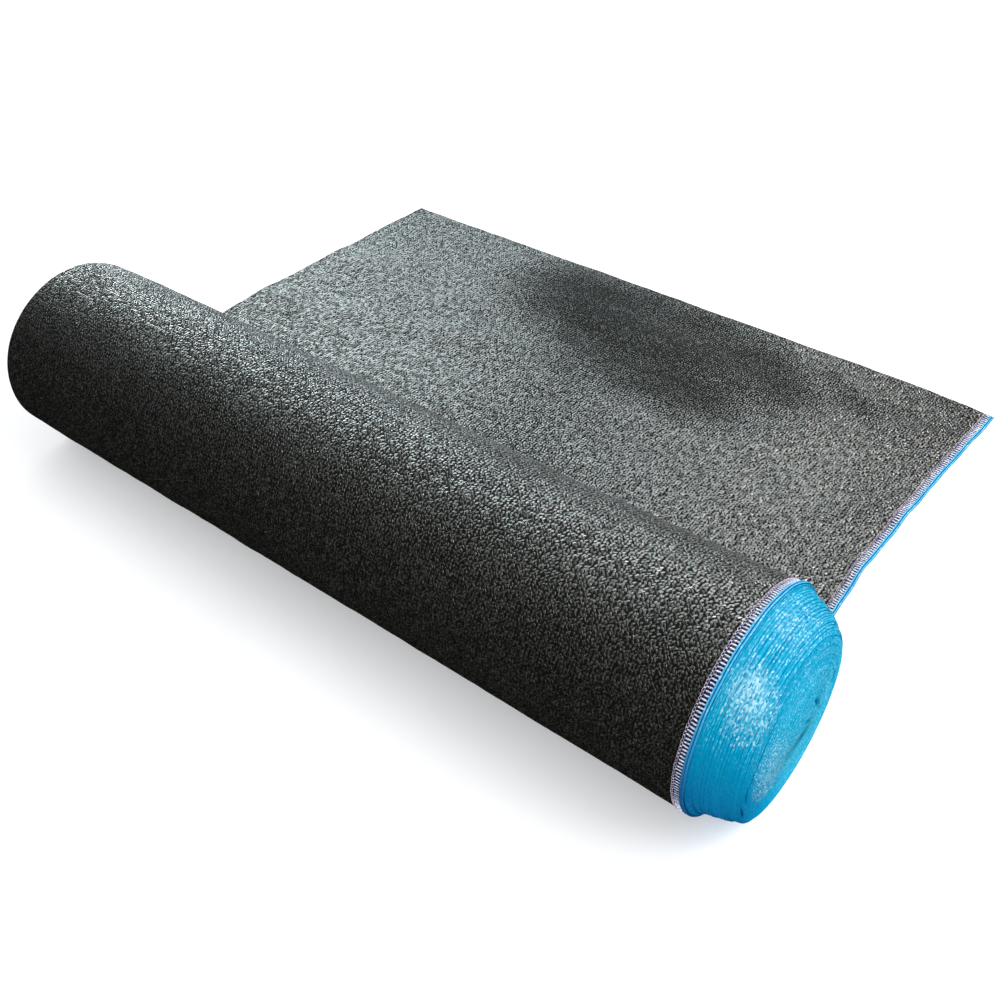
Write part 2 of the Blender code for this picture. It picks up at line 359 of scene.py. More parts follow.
def in_row(points):
    """Points measured from the plain end and the roll's axis, moved to the part's own frame."""
    return np.asarray(points) + np.array((PLAIN_END, ROLL_AXIS, 0.0))


# Meshes


def link_item(name, data):
    """An object in the scene that holds a mesh, a light or a camera."""
    item = bpy.data.objects.new(name, data)
    bpy.context.scene.collection.objects.link(item)
    return item


def link_mesh(name, verts, edges, faces):
    """A mesh object in the scene from points and either edges or faces."""
    mesh = bpy.data.meshes.new(name)
    mesh.from_pydata([tuple(v) for v in verts], edges, faces)
    mesh.validate()
    return link_item(name, mesh)


def select_only(item):
    """Select one object and make it active."""
    bpy.ops.object.select_all(action="DESELECT")
    item.select_set(True)
    bpy.context.view_layer.objects.active = item


def apply_modifiers(item):
    """Apply each of an object's modifiers."""
    select_only(item)
    for modifier in list(item.modifiers):
        bpy.ops.object.modifier_apply(modifier=modifier.name)


def face_out(item):
    """Turn all faces of a closed mesh outwards."""
    select_only(item)
    bpy.ops.object.mode_set(mode="EDIT")
    bpy.ops.mesh.select_all(action="SELECT")
    bpy.ops.mesh.remove_doubles(threshold=0.00001)
    bpy.ops.mesh.normals_make_consistent(inside=False)
    bpy.ops.object.mode_set(mode="OBJECT")


def smooth(item, degrees):
    """Smooth shading that keeps edges sharper than an angle."""
    select_only(item)
    bpy.ops.object.shade_smooth_by_angle(angle=math.radians(degrees))


def read_points(item):
    """An object's vertices as an array."""
    places = np.zeros(len(item.data.vertices) * 3)
    item.data.vertices.foreach_get("co", places)
    return places.reshape(-1, 3)


def write_points(item, places):
    """Put an array back as an object's vertices."""
    item.data.vertices.foreach_set("co", np.asarray(places).ravel())
    item.data.update()


def give_lengths(item, lengths, once_round=0.0):
    """Write the piece's own UV map: metres across and along the cloth, run on past a full turn's join."""
    layer = item.data.uv_layers.new(name="cloth")
    loops = np.zeros(len(item.data.loops), dtype=np.int64)
    item.data.loops.foreach_get("vertex_index", loops)
    places = np.asarray(lengths, dtype=np.float32)[loops]
    if once_round:
        for face in item.data.polygons:
            along = places[face.loop_start:face.loop_start + face.loop_total, 1]
            along[along < along.max() - once_round / 2.0] += once_round
    layer.data.foreach_set("uv", places.ravel())


def give_painted_shade(item, values):
    """Write how deep each vertex lies between the turns, from 0 to 1, which the material paints as shade."""
    layer = item.data.attributes.new("depth", "FLOAT", "POINT")
    layer.data.foreach_set("value", np.asarray(values, dtype=np.float32).ravel())


def dress(item, material):
    """Give a piece its material and the part that it moves with."""
    item.data.materials.clear()
    item.data.materials.append(material)
    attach(item, "root")


def grid_faces(rows, columns, closed=False):
    """Faces of a grid of points, row by row."""
    faces = []
    across = columns if closed else columns - 1
    for i in range(rows - 1):
        for j in range(across):
            k = (j + 1) % columns
            faces.append((i * columns + j, i * columns + k, (i + 1) * columns + k, (i + 1) * columns + j))
    return faces


# Materials


class Recipe:
    """A material's node tree, put together step by step."""

    def __init__(self, name):
        self.material = bpy.data.materials.new(name)
        self.material.use_nodes = True
        self.tree = self.material.node_tree
        self.shader = self.tree.nodes["Principled BSDF"]

    def node(self, kind, inputs=(), **settings):
        """A new node with its settings, and its inputs linked or set."""
        made = self.tree.nodes.new(kind)
        for key, value in settings.items():
            setattr(made, key, value)
        for key, value in dict(inputs).items():
            self.feed(made.inputs[key], value)
        return made

    def feed(self, socket, value):
        """Link an output to a socket, or set the socket's own value."""
        if isinstance(value, bpy.types.NodeSocket):
            self.tree.links.new(value, socket)
        else:
            socket.default_value = value

    def maths(self, operation, *values):
        """The result of a Math node."""
        made = self.node("ShaderNodeMath", operation=operation)
        for socket, value in zip(made.inputs, values):
            self.feed(socket, value)
        return made.outputs[0]

    def vector(self, operation, *values):
        """The result of a Vector Math node."""
        made = self.node("ShaderNodeVectorMath", operation=operation)
        for socket, value in zip(made.inputs, values):
            self.feed(socket, value)
        return made.outputs["Value"] if operation == "DOT_PRODUCT" else made.outputs["Vector"]

    def blend(self, share, first, second):
        """A colour between two others."""
        made = self.node("ShaderNodeMix", data_type="RGBA")
        self.feed(made.inputs["Factor"], share)
        for key, value in (("A", first), ("B", second)):
            socket = [s for s in made.inputs if s.name == key and s.type == "RGBA"][0]
            self.feed(socket, value if isinstance(value, bpy.types.NodeSocket) else (*value, 1.0))
        return [s for s in made.outputs if s.type == "RGBA"][0]

    def spread(self, value, low, high, to_low=0.0, to_high=1.0):
        """A value's range stretched to another range, held at its ends."""
        made = self.node("ShaderNodeMapRange", clamp=True)
        for key, number in (("Value", value), ("From Min", low), ("From Max", high),
                            ("To Min", to_low), ("To Max", to_high)):
            self.feed(made.inputs[key], number)
        return made.outputs["Result"]

    def lengths(self):
        """Metres across and along the cloth, from the piece's own UV map."""
        return self.node("ShaderNodeUVMap", uv_map="cloth").outputs["UV"]

    def place(self):
        """The place in the part, in metres."""
        return self.node("ShaderNodeTexCoord").outputs["Object"]

    def chances(self, loops):
        """Three random numbers for each loop, as Red, Green and Blue."""
        return self.node("ShaderNodeSeparateColor", {"Color": loops.outputs["Color"]}).outputs

    def relief(self, height, strength, distance):
        """Fine relief that the light catches, from a height."""
        bump = self.node("ShaderNodeBump", {"Height": height, "Strength": strength, "Distance": distance})
        self.feed(self.shader.inputs["Normal"], bump.outputs["Normal"])

    def noise(self, vector, scale, detail=2.0):
        """A noise texture's grey value."""
        made = self.node("ShaderNodeTexNoise", {"Vector": vector, "Scale": scale, "Detail": detail})
        return made.outputs["Fac"]

    def loops(self, vector, wide, long, wander, randomness):
        """Knitted loops: a grid of cells, each with its own random colour and its middle."""
        drift = self.node("ShaderNodeTexNoise", {"Vector": vector, "Scale": 38.0, "Detail": 2.0})
        moved = self.vector("SUBTRACT", drift.outputs["Color"], (0.5, 0.5, 0.5))
        moved = self.vector("MULTIPLY", moved, (wander, wander, 0.0))
        moved = self.vector("ADD", vector, moved)
        placed = self.vector("MULTIPLY", moved, (1.0 / wide, 1.0 / long, 0.0))
        made = self.node("ShaderNodeTexVoronoi", {"Vector": placed, "Scale": 1.0, "Randomness": randomness},
                         voronoi_dimensions="2D")
        return placed, made

    def tape(self, placed, loops, chance, narrow, long, lean):
        """1 on each loop's slanted strip of tape, falling to 0 at the strip's edge."""
        offset = self.vector("SUBTRACT", placed, loops.outputs["Position"])
        from_middle = self.node("ShaderNodeSeparateXYZ", {"Vector": offset}).outputs
        slant = self.maths("MULTIPLY", self.maths("SUBTRACT", chance, 0.5), lean)
        aside = self.maths("MULTIPLY_ADD", from_middle["Y"], slant, from_middle["X"])
        across = self.maths("DIVIDE", aside, narrow)
        along = self.maths("DIVIDE", from_middle["Y"], long)
        across, along = self.maths("MULTIPLY", across, across), self.maths("MULTIPLY", along, along)
        return self.spread(self.maths("SQRT", self.maths("ADD", across, along)), 0.50, 1.0, 1.0, 0.0)

    def patches(self, vector, table):
        """Sum of soft oval patches, each with its own middle, half sizes, heading and strength."""
        total = 0.0
        for across, along, half_across, half_along, heading, strength in table:
            placed = self.node("ShaderNodeMapping", {
                "Vector": vector, "Location": (across, along, 0.0),
                "Rotation": (0.0, 0.0, math.radians(heading)), "Scale": (half_across, half_along, 1.0),
            }, vector_type="TEXTURE").outputs["Vector"]
            flat = self.vector("MULTIPLY", placed, (1.0, 1.0, 0.0))
            near = self.spread(self.vector("DOT_PRODUCT", flat, flat), 0.0, 1.6, strength, 0.0)
            total = self.maths("ADD", total, near)
        return total

    def facets(self, placed, loops, slant):
        """Height of flat tilted faces, one for each loop."""
        from_middle = self.vector("SUBTRACT", placed, loops.outputs["Position"])
        lean = self.vector("SUBTRACT", loops.outputs["Color"], (0.5, 0.5, 0.5))
        return self.maths("MULTIPLY", self.vector("DOT_PRODUCT", from_middle, lean), slant)


def black_knit(settings):
    """Glossy black tape knitted in lengthwise rows, with painted glints: grey flecks in its colour where a
    loop faces up, and pale grey sparks.
    """
    r = Recipe("black_tape_knit")
    metres = r.lengths()
    placed, loops = r.loops(metres, settings.wale, settings.wale, 0.0035, 0.55)
    chance = r.chances(loops)
    # Painted sheen: the patches and fine streaks make the loops' glints bigger or smaller, so the colour is
    # brighter or darker there
    streaks = r.noise(r.vector("MULTIPLY", metres, (9.0, 26.0, 0.0)), 1.0, 3.0)
    sheen = r.maths("ADD", r.patches(metres, SHEEN_PATCHES), r.spread(streaks, 0.3, 0.7, -0.45, 0.45))
    size = r.spread(sheen, -2.0, 2.0, 0.35, 1.75)
    narrow, long = r.maths("MULTIPLY", size, 0.34), r.maths("MULTIPLY", size, 0.55)
    tape = r.tape(placed, loops, chance["Green"], narrow, long, 1.7)

    # Painted glints: fine sparks of pale grey in the colour, also raised in the relief
    _, hairs = r.loops(metres, 0.0021, 0.0026, 0.0, 1.0)
    luck = r.maths("POWER", r.chances(hairs)["Red"], 4.0)
    spark = r.maths("MULTIPLY", luck, r.spread(hairs.outputs["Distance"], 0.15, 0.45, 1.0, 0.0))
    clumps = r.spread(r.noise(metres, 95.0), 0.35, 0.65, 0.36, 1.0)
    glint = r.maths("MULTIPLY", r.maths("MAXIMUM", tape, spark), clumps)

    # Painted glints: each loop's glint turns its colour from black towards grey
    glinting = r.maths("POWER", chance["Blue"], 2.0)
    colour = r.blend(r.maths("MULTIPLY", glint, glinting), settings.black, settings.grey)
    colour = r.blend(r.maths("MULTIPLY", spark, 0.5), colour, PAINTED_SPARKLE_GREY)
    border = r.node("ShaderNodeSeparateXYZ", {"Vector": metres}).outputs["X"]
    seam = r.spread(border, CLOTH_WIDTH - 0.0100, CLOTH_WIDTH - 0.0090)
    r.feed(r.shader.inputs["Base Color"], r.blend(seam, colour, SEAM_SHADE))

    ruffled = r.spread(r.maths("ABSOLUTE", sheen), 0.1, 1.2, 0.0, 0.12)
    shine = r.maths("ADD", r.spread(chance["Red"], 0.0, 1.0, 0.24, 0.52), ruffled)
    r.feed(r.shader.inputs["Roughness"], r.spread(glint, 0.0, 0.8, 1.0, shine))
    r.feed(r.shader.inputs["Specular IOR Level"], r.spread(glint, 0.0, 0.6, 0.10, 1.0))

    height = r.maths("MULTIPLY", r.maths("ADD", r.facets(placed, loops, 1.7), 0.45), tape)
    r.relief(r.maths("ADD", height, r.maths("MULTIPLY", spark, 0.25)), 1.0, 0.0016)
    return r.material


def turn_edges(settings):
    """Black tape yarn where the edges of the turns show at the plain end."""
    r = Recipe("black_turn_edges")
    # Painted glints: speckles of the grey fleck colour on the black
    speckle = r.noise(r.place(), 420.0)
    colour = r.blend(r.spread(speckle, 0.45, 0.75), settings.black, settings.grey)
    r.feed(r.shader.inputs["Base Color"], colour)
    r.feed(r.shader.inputs["Roughness"], r.spread(speckle, 0.3, 0.7, 0.95, 0.7))
    r.feed(r.shader.inputs["Specular IOR Level"], 0.3)
    r.relief(speckle, 0.8, 0.0008)
    return r.material


def blue_knit(name, colour, shade_colour):
    """Glossy blue yarn, knitted tight: painted shade makes it darker between the turns and towards the front,
    and painted highlights make it paler in patches.
    """
    r = Recipe(name)
    metres = r.lengths()
    placed, loops = r.loops(metres, 0.0019, 0.0030, 0.0010, 0.8)
    chance = r.chances(loops)
    # Painted shade: the blue darkens deep between the turns, at random loops and towards the front
    depth = r.node("ShaderNodeAttribute", attribute_name="depth").outputs["Fac"]
    deep = r.maths("MAXIMUM", depth, r.maths("MULTIPLY", chance["Green"], 0.25))
    front_shade = r.vector("DOT_PRODUCT", r.place(), (0.0, -1.0, -0.5))
    deep = r.maths("MAXIMUM", deep, r.spread(front_shade, 0.27, 0.40, 0.0, 0.85))
    # Painted highlight: pale sparkling loops in the highlight patches, hidden where shade is painted
    highlight = r.patches(metres, HIGHLIGHT_PATCHES)

    fine = r.maths("POWER", chance["Blue"], r.spread(highlight, 0.0, 1.0, 7.0, 1.2))
    shown = r.spread(r.maths("SUBTRACT", deep, highlight), 0.1, 0.5, 0.85, 0.02)
    shade = r.blend(deep, colour, shade_colour)
    shade = r.blend(r.maths("MULTIPLY", fine, shown), shade, HIGHLIGHT_BLUE)
    # Painted shade: navy in the gaps between loose turns
    shade = r.blend(r.spread(depth, 0.80, 1.0), shade, SLIT_SHADE)
    r.feed(r.shader.inputs["Base Color"], shade)

    r.feed(r.shader.inputs["Roughness"], r.spread(chance["Red"], 0.0, 1.0, 0.20, 0.50))
    gloss = r.spread(r.maths("SUBTRACT", highlight, deep), -0.4, 0.9, 0.01, 0.36)
    r.feed(r.shader.inputs["Specular IOR Level"], gloss)
    rounding = r.spread(loops.outputs["Distance"], 0.0, 0.8, 0.3, 0.0)
    r.relief(r.maths("ADD", r.facets(placed, loops, 1.5), rounding), 1.0, 0.0007)
    return r.material


def thread(name, pale, dark):
    """Shiny sewing thread with fine strands in its colour."""
    r = Recipe(name)
    strands = r.noise(r.place(), 650.0, 1.0)
    r.feed(r.shader.inputs["Base Color"], r.blend(r.spread(strands, 0.35, 0.65), dark, pale))
    r.feed(r.shader.inputs["Roughness"], r.spread(strands, 0.3, 0.7, 0.35, 0.6))
    r.relief(strands, 0.6, 0.0004)
    return r.material


# The cloth's running length: from the cut end along the floor, under the roll and once round it


def wrap_angles(radius, middle, start_height, count):
    """Angles from the flat spot's front edge round the front, top and back to the loose length."""
    last = math.tau + math.atan2(-middle, -FLAT_SPOT)
    first = math.atan2(start_height - middle, math.sqrt(radius ** 2 - (start_height - middle) ** 2))
    return np.linspace(last, first, count)


def cloth_outside(shares, flat_rows, wrap_rows):
    """Points of the cloth's outer face and their lengths across and along it."""
    x = shares * CLOTH_WIDTH
    radius, back, middle = roll_measures(x)
    cut = between(CUT_END, shares)
    points = []
    lengths = []
    for column in np.linspace(1.0, 0.0, flat_rows):
        y = (cut + FLAT_SPOT) * column - FLAT_SPOT
        start = softly_between(PLAIN_EDGE, y, EDGE_ROUNDING)
        end = CLOTH_WIDTH + softly_between(SELVEDGE_EDGE, y, EDGE_ROUNDING)
        sheet_x = start + (end - start) * shares
        sheet_x = sheet_x + plain_end_lean(x, 0.0) * (1.0 - soft_step(0.034, 0.120, y))
        points.append(np.stack([sheet_x, y, loose_height(sheet_x, y)], axis=-1))
        lengths.append(np.stack([x, y], axis=-1))
    angles = np.array([wrap_angles(r, m, SHEET_LEAVES_AT, wrap_rows) for r, m in zip(radius, middle)])
    for i in range(1, wrap_rows):
        angle = angles[:, i]
        along = -FLAT_SPOT - radius * (angles[:, 0] - angle)
        fade = soft_step(0.0, 0.12, i / wrap_rows) * soft_step(0.0, 0.06, 1.0 - i / wrap_rows)
        swell = 0.0005 * unevenness(3, 0.05, 0.22, x, along)
        swell = swell + 0.0003 * unevenness(4, 0.02, 0.05, x, along * 0.2)
        r = radius + (swell - 0.0003) * fade
        y = back + r * np.cos(angle)
        z = np.maximum(middle + r * np.sin(angle), 0.0)
        points.append(np.stack([x + plain_end_lean(x, z), y, z], axis=-1))
        lengths.append(np.stack([x, along], axis=-1))
    return np.array(points), np.array(lengths)


class SHADECLOTH_OT_cloth_sheet(bpy.types.Operator):
    """Lay out the loose length and wrap the outermost turn round the roll, as one cloth"""

    bl_idname = "shade_cloth.cloth_sheet"
    bl_label = "Cloth Sheet"

    def execute(self, context):
        settings = context.scene.shade_cloth
        shares = np.linspace(0.0, 1.0, 125)
        points, lengths = cloth_outside(shares, 96, 92)
        rows, columns = points.shape[:2]
        item = link_mesh("cloth_sheet", in_row(points).reshape(-1, 3), [], grid_faces(rows, columns))
        give_lengths(item, lengths.reshape(-1, 2))
        on_top = item.data.polygons[(rows - 46) * (columns - 1) + columns // 2]
        axis = Vector((on_top.center.x, ROLL_AXIS, 0.1425))
        if on_top.normal.dot(on_top.center - axis) < 0.0:
            item.data.flip_normals()
        wall = item.modifiers.new("Thickness", "SOLIDIFY")
        wall.thickness = settings.thickness
        wall.offset = -1.0
        wall.use_even_offset = True
        apply_modifiers(item)
        smooth(item, 45.0)
        dress(item, black_knit(settings))
        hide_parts("black_cloth")
        return {"FINISHED"}


def turned(name, profile, steps):
    """A closed body: a profile of (distance, radius) pairs spun round the X axis in edit mode."""
    edges = [(i, i + 1) for i in range(len(profile) - 1)]
    item = link_mesh(name, [(distance, 0.0, radius) for distance, radius in profile], edges, [])
    select_only(item)
    bpy.ops.object.mode_set(mode="EDIT")
    bpy.ops.mesh.select_all(action="SELECT")
    bpy.ops.mesh.spin(steps=steps, angle=math.tau, center=(0.0, 0.0, 0.0), axis=(1.0, 0.0, 0.0))
    bpy.ops.mesh.select_all(action="SELECT")
    bpy.ops.mesh.remove_doubles(threshold=0.00002)
    bpy.ops.mesh.normals_make_consistent(inside=False)
    bpy.ops.object.mode_set(mode="OBJECT")
    return item


class SHADECLOTH_OT_wound_turns(bpy.types.Operator):
    """Wind the inner turns, whose edges show as fine rings at the plain end"""

    bl_idname = "shade_cloth.wound_turns"
    bl_label = "Wound Turns"

    def execute(self, context):
        settings = context.scene.shade_cloth
        wall = settings.thickness + GAP
        random = np.random.RandomState(12)
        blue_side = CLOTH_WIDTH - 0.0006
        profile = [(blue_side, 0.0)]
        for x, radius, _ in reversed(ROLL):
            profile.append((min(max(x, 0.004), blue_side), radius - wall))
        radius = ROLL[0][1] - wall
        while radius > 0.010:
            depth = float(between(DISH, radius / ROLL[0][1])) + 0.0010 * (random.rand() - 0.3)
            profile.append((depth + 0.0003, radius - 0.12 * settings.turn))
            profile.append((depth, radius - 0.42 * settings.turn))
            profile.append((depth + 0.0004, radius - 0.72 * settings.turn))
            profile.append((depth + 0.0016, radius - 0.95 * settings.turn))
            radius -= settings.turn
        profile.append((0.016, radius))
        profile.append((0.016, 0.0))
        item = turned("wound_turns", profile, 96)
        places = read_points(item)
        x, y, z = places.T
        angle = np.arctan2(z, y)
        reach = np.hypot(y, z)
        near = (1.0 - soft_step(0.02, 0.06, x)) * soft_step(0.008, 0.03, reach)
        x = x + near * 0.0007 * np.sin(angle * 2.0 + reach * 260.0) * np.sin(reach * 900.0 + angle)
        squeeze = 1.0 - 0.45 * (1.0 - soft_step(0.010, 0.034, reach))
        _, back, middle = roll_measures(x)
        y = y + back
        z = z * squeeze + middle
        x = x + plain_end_lean(x, z)
        write_points(item, in_row(np.stack([x, y, z], axis=-1)))
        face_out(item)
        smooth(item, 50.0)
        dress(item, turn_edges(settings))
        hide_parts("black_cloth")
        return {"FINISHED"}


# The blue selvedge


def selvedge_line(flat_rows, wrap_rows):
    """The selvedge's line: its places, the way into the cloth at each, and the running length."""
    cut = float(between(CUT_END, 1.0))
    middle = math.sqrt(BAND_RADIUS ** 2 - FLAT_SPOT ** 2)
    places, inwards, runs = [], [], []
    for y in np.linspace(cut, -FLAT_SPOT, flat_rows):
        x = CLOTH_WIDTH + float(softly_between(SELVEDGE_EDGE, y, EDGE_ROUNDING))
        places.append((x, y, float(loose_height(np.array(x), np.array(y)))))
        inwards.append((0.0, 0.0, 1.0))
        runs.append(y)
    angles = wrap_angles(BAND_RADIUS, middle, BAND_LEAVES_AT, wrap_rows)
    for angle in angles[1:]:
        y, z = BAND_RADIUS * math.cos(angle), middle + BAND_RADIUS * math.sin(angle)
        places.append((CLOTH_WIDTH, y, max(z, 0.0)))
        inwards.append((0.0, -math.cos(angle), -math.sin(angle)))
        runs.append(-FLAT_SPOT - BAND_RADIUS * (angles[0] - angle))
    return np.array(places), np.array(inwards), np.array(runs)


class SHADECLOTH_OT_selvedge_band(bpy.types.Operator):
    """Run the two-ribbed blue band along the loose length and round the roll"""

    bl_idname = "shade_cloth.selvedge_band"
    bl_label = "Selvedge Band"

    def execute(self, context):
        settings = context.scene.shade_cloth
        wide = settings.band
        section = [(share * wide, depth) for share, depth in BAND_FACE]
        section += [(share * wide, BAND_THICKNESS - depth) for share, depth in reversed(BAND_FACE)]
        places, inwards, runs = selvedge_line(150, 150)
        points = []
        lengths = []
        shade_and_tone = []
        for place, inward, run in zip(places, inwards, runs):
            wander = 0.0003 * math.sin(run * 95.0) + 0.0003 * math.sin(run * 41.0 + 1.0)
            for out, deep in section:
                shift = out + wander * out / wide
                points.append(place + np.array((GAP + shift, 0.0, 0.0)) + inward * deep)
                lengths.append((out, run))
                # Painted shade: the groove between the ribs and the band's outer edge are darkened
                shade_and_tone.append(0.85 if 0.36 < out / wide < 0.56 or out / wide > 0.95 else 0.0)
        count = len(section)
        rows = len(places)
        faces = grid_faces(rows, count, closed=True)
        faces.append(tuple(range(count - 1, -1, -1)))
        faces.append(tuple(range((rows - 1) * count, rows * count)))
        item = link_mesh("selvedge_band", in_row(points), [], faces)
        give_lengths(item, lengths)
        give_painted_shade(item, shade_and_tone)
        face_out(item)
        smooth(item, 60.0)
        dress(item, blue_knit("blue_band_knit", BAND_BLUE, BAND_GROOVE_SHADE))
        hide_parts("blue_selvedge")
        return {"FINISHED"}


def wound_edges(turn, by_radius):
    """The blue end's profile of (distance, radius) pairs, and how much painted shade each takes, from 0 to 1:
    deep in the grooves between turns, with a random tone for each turn.
    """
    random = np.random.RandomState(7)
    outer = by_radius[-1][0] - 0.0002
    profile = [(0.0, 0.0), (0.0, outer - 0.0022), (0.0040, outer - 0.0012)]
    shade_and_tone = [1.0, 1.0, 1.0]
    radius = outer
    before = 0.0050
    while radius > 0.0090:
        # the loose turns on the dome's side are rougher than those on its face
        rough, edge, step_back = (0.0011, 0.0005, 0.0008) if radius > 0.118 else (0.0003, 0.0002, 0.0005)
        distance = float(between(by_radius, radius - 0.5 * turn)) + rough * (random.rand() - 0.5)
        distance = max(distance, before + 0.0001)
        profile.append((before + 0.30 * (distance - before), radius - 0.01 * turn))
        profile.append((distance - edge, radius - 0.02 * turn))
        profile.append((distance, radius - 0.36 * turn))
        profile.append((distance - edge, radius - 0.78 * turn))
        tone = 0.45 * random.rand() ** 2
        shade_and_tone += [0.55 + 0.3 * random.rand(), tone, tone, 0.15 + tone]
        before = max(distance - step_back, 0.0)
        radius -= turn
    profile += [(before - 0.0008, radius), (before - 0.0012, 0.0)]
    shade_and_tone += [0.4, 0.5]
    return profile, np.array(shade_and_tone), outer


def loosen(x, reach, angle, order):
    """Let the turns wander out and back a little, each in its own way."""
    wave = np.sin(angle + order * 2.4) * np.sin(order * 1.7) + 0.6 * np.sin(3.0 * angle + order * 5.1)
    side = soft_step(0.112, 0.122, reach) * soft_step(0.006, 0.010, x)
    end = (1.0 - soft_step(0.112, 0.122, reach)) * soft_step(0.020, 0.030, reach)
    return x + wave * (0.0006 * side + 0.00012 * end)


def open_slits(x, depth, reach, angle):
    """Sink the gaps between loose turns into the blue end, and mark them for painted shade."""
    for spot_reach, spot_angle, arc, wide, drop in SLITS:
        aside = (angle - math.radians(spot_angle) + math.pi) % math.tau - math.pi
        near = np.exp(-((reach - spot_reach) / wide) ** 2 - (aside / math.radians(arc)) ** 2)
        open_here = np.minimum(1.6 * near, 1.0)
        x = x - drop * open_here
        depth = np.maximum(depth, open_here)
    return x, depth


def settle(z, reach, by_radius):
    """Heights of the blue end's points: its turns hang a little flat, and less deep towards the middle."""
    half = np.minimum(FLAT_SPOT, 0.09 * reach)
    lowest = between(by_radius, reach, 2)
    lowest = np.where(reach < by_radius[0][0], by_radius[0][2] + by_radius[0][0] - reach, lowest)
    middle = lowest + np.sqrt(np.maximum(reach ** 2 - half ** 2, 0.0))
    squeeze = 1.0 - 0.35 * (1.0 - soft_step(0.012, 0.060, reach))
    z = np.where(z < -np.sqrt(np.maximum(reach ** 2 - half ** 2, 0.0)), -(middle - lowest), z)
    return z * squeeze + middle


class SHADECLOTH_OT_wound_selvedge(bpy.types.Operator):
    """Wind the blue selvedge: each turn's edge steps out a little beyond the one outside it"""

    bl_idname = "shade_cloth.wound_selvedge"
    bl_label = "Wound Selvedge"

    def execute(self, context):
        settings = context.scene.shade_cloth
        by_radius = sorted((radius, distance, lowest) for distance, radius, lowest in DOME)
        profile, shade_and_tone, outer = wound_edges(settings.turn, by_radius)
        item = turned("wound_selvedge", profile, 132)
        line = np.array(profile)
        x, y, z = read_points(item).T
        reach = np.hypot(y, z)
        angle = np.arctan2(z, y)
        nearest = [np.argmin((a - line[:, 0]) ** 2 + (b - line[:, 1]) ** 2) for a, b in zip(x, reach)]
        x = loosen(x, reach, angle, np.round((outer - reach) / settings.turn))
        x, depth = open_slits(x, shade_and_tone[nearest], reach, angle)
        z = settle(z, reach, by_radius)
        write_points(item, in_row(np.stack([x + CLOTH_WIDTH + GAP, y, z], axis=-1)))
        lengths = np.stack([x + (outer - reach), angle * BLUE_END_RADIAN], axis=-1)
        give_lengths(item, lengths, math.tau * BLUE_END_RADIAN)
        give_painted_shade(item, depth)
        face_out(item)
        smooth(item, 55.0)
        dress(item, blue_knit("blue_yarn_knit", settings.blue, settings.shaded_blue))
        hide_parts("blue_selvedge")
        return {"FINISHED"}


# Stitches


def capsule(name, length, wide, high):
    """A short stitch with rounded ends, lying along X, from a stretched ball."""
    bpy.ops.object.select_all(action="DESELECT")
    bpy.ops.mesh.primitive_uv_sphere_add(
        segments=7, ring_count=6, radius=0.5, rotation=(0.0, math.pi / 2.0, 0.0))
    item = bpy.context.object
    item.name = name
    bpy.ops.object.transform_apply(location=True, rotation=True, scale=True)
    places = read_points(item)
    places[:, 0] = np.sign(places[:, 0]) * (np.abs(places[:, 0]) * 2.0) ** 0.6 / 2.0
    write_points(item, places * np.array((length, wide, high)))
    return item


def link_loop(name, length, wide, thick):
    """One loop of the chain, lying along Y, from a stretched ring."""
    bpy.ops.object.select_all(action="DESELECT")
    bpy.ops.mesh.primitive_torus_add(
        major_segments=12, minor_segments=5, major_radius=0.5, minor_radius=thick / length)
    item = bpy.context.object
    item.name = name
    places = read_points(item)
    places[:, 0] *= wide * (1.0 - 0.45 * places[:, 1])
    places[:, 1] *= length
    places[:, 2] *= length
    write_points(item, places)
    return item


def copies_along(name, model, frames):
    """One mesh of a stitch's copies, each moved by its own matrix; the stitch itself is removed."""
    places = np.c_[read_points(model), np.ones(len(model.data.vertices))]
    shapes = [tuple(face.vertices) for face in model.data.polygons]
    verts = []
    faces = []
    for frame_matrix in frames:
        start = len(verts)
        verts.extend((places @ np.array(frame_matrix).T)[:, :3])
        faces.extend(tuple(start + i for i in shape) for shape in shapes)
    mesh = model.data
    bpy.data.objects.remove(model, do_unlink=True)
    bpy.data.meshes.remove(mesh)
    return link_mesh(name, verts, [], faces)


def seam_frame(place, normal, random, jitter):
    """A matrix at a place on the seam, a little turned, shifted and stretched at random."""
    turn = (random.rand() - 0.5) * jitter
    up = Vector(normal)
    out = Vector((math.cos(turn), 0.0, 0.0)) + math.sin(turn) * up.cross(Vector((1.0, 0.0, 0.0)))
    out.normalize()
    along = up.cross(out)
    shift = np.array((0.0006 * (random.rand() - 0.5), 0.0, 0.0))
    stretch = 1.0 + (random.rand() - 0.5) * jitter
    matrix = Matrix((out * stretch, along, up)).transposed().to_4x4()
    matrix.translation = Vector(in_row(np.asarray(place) + shift))
    return matrix


